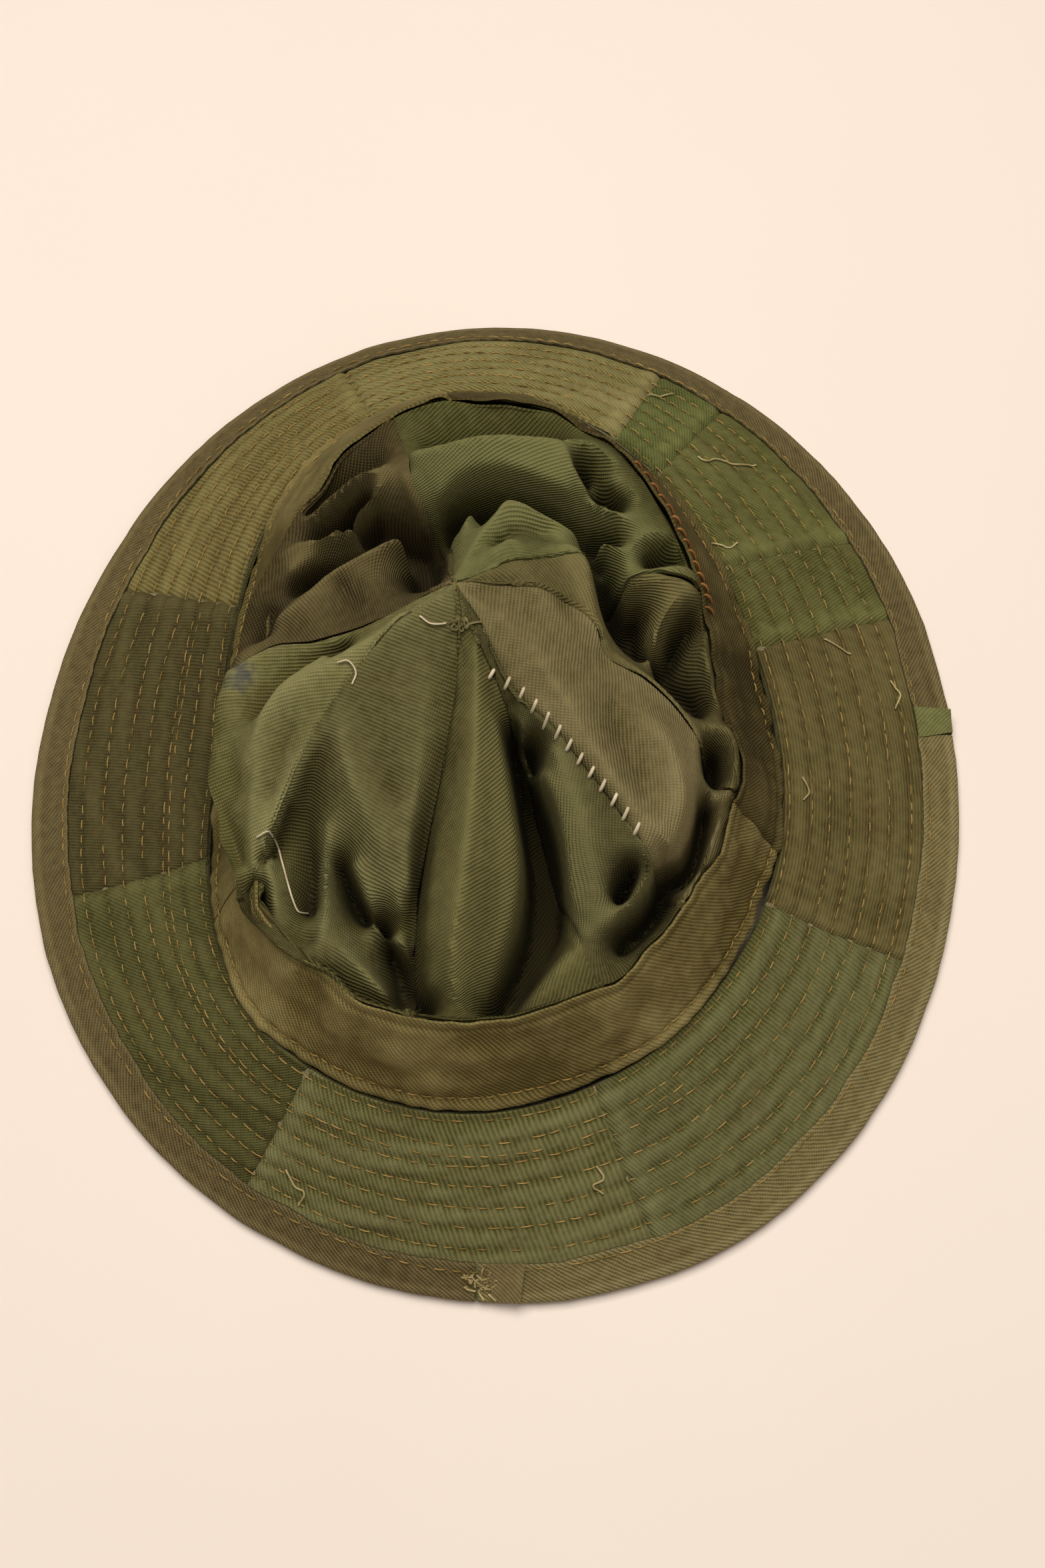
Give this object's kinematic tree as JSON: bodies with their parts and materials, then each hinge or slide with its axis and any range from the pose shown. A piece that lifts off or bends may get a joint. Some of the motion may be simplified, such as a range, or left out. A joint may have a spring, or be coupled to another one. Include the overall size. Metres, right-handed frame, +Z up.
{
  "type": "boonie hat",
  "caption": "Soft brimmed cotton field hat turned inside out, with a quilted patchwork brim, bound edge, sweatband and a slumped gored crown.",
  "frame": {"origin": "on the surface the brim's edge stands on, under the middle of the hat's outline", "axes": "+X to the right, +Y towards the back of the oval, +Z up through the crown; the oval is longest along Y"},
  "size_m": [0.276, 0.3081, 0.0962],
  "materials": {
    "facing_cotton": "faded olive green cotton sateen, patched and quilted",
    "interlining_canvas": "unbleached cotton canvas",
    "backing_cotton": "olive green cotton twill",
    "binding_tape_brown": "brown-olive cotton twill bias tape",
    "binding_tape_green": "olive cotton twill bias tape",
    "sewing_thread": "tan sewing thread",
    "orange_thread": "orange-brown sewing thread",
    "pale_thread": "pale sewing thread",
    "sweatband_cotton": "olive cotton, stained yellow-brown",
    "crown_cotton": "soft olive drab cotton twill, faded and creased"
  },
  "bodies": {
    "root": {"brim_facing_right": "facing_cotton", "brim_facing_right_back": "facing_cotton", "brim_facing_back_right": "facing_cotton", "brim_facing_back_gusset": "facing_cotton", "brim_facing_back": "facing_cotton", "brim_facing_back_left": "facing_cotton", "brim_facing_left": "facing_cotton", "brim_facing_front_left": "facing_cotton", "brim_facing_front": "facing_cotton", "brim_facing_front_right": "facing_cotton", "brim_interlining": "interlining_canvas", "brim_backing_right": "backing_cotton", "brim_backing_back": "backing_cotton", "brim_backing_left": "backing_cotton", "brim_backing_front": "backing_cotton", "edge_binding_long": "binding_tape_brown", "edge_binding_short": "binding_tape_green", "quilting_row_1": "sewing_thread", "quilting_row_2": "sewing_thread", "quilting_row_3": "sewing_thread", "quilting_row_4": "sewing_thread", "quilting_row_5": "sewing_thread", "quilting_row_6": "sewing_thread", "quilting_row_7": "sewing_thread", "quilting_row_extra": "sewing_thread", "binding_stitching": "sewing_thread", "sweatband_right": "sweatband_cotton", "sweatband_back_left": "sweatband_cotton", "sweatband_front": "sweatband_cotton", "sweatband_stitching": "sewing_thread", "sweatband_hand_stitches": "orange_thread", "crown_gore_front_left": "crown_cotton", "crown_gore_front": "crown_cotton", "crown_gore_front_right": "crown_cotton", "crown_gore_right_front": "crown_cotton", "crown_gore_right": "crown_cotton", "crown_gore_back_right": "crown_cotton", "crown_gore_back_left": "crown_cotton", "crown_gore_left": "crown_cotton", "crown_tip_knot": "crown_cotton", "repair_whipstitches": "pale_thread"}
  },
  "joints": []
}
